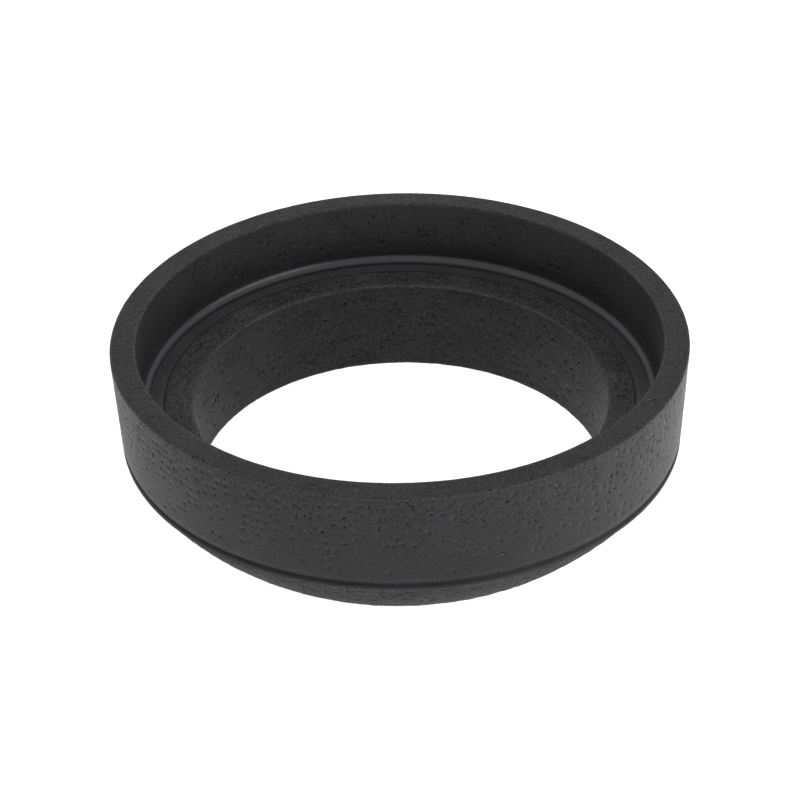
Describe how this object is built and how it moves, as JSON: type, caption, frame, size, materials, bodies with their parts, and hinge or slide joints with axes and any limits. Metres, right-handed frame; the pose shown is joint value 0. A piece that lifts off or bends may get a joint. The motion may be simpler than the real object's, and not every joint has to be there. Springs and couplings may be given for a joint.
{
  "type": "toilet flange seal",
  "caption": "Round sponge-rubber seal with a cup on top, a through bore and a rounded conical nose, set between a toilet outlet and a floor flange.",
  "frame": {"origin": "on the ring's axis, in the plane of the bottom face of the nose", "axes": "+Z along the ring's axis, from the floor flange up to the toilet; X and Y are free, because the ring is the same all round"},
  "size_m": [0.121, 0.121, 0.0363],
  "materials": {
    "sponge_rubber": "matte moulded closed-cell sponge with small pits"
  },
  "bodies": {
    "root": {"seal_ring": "sponge_rubber"}
  },
  "joints": []
}
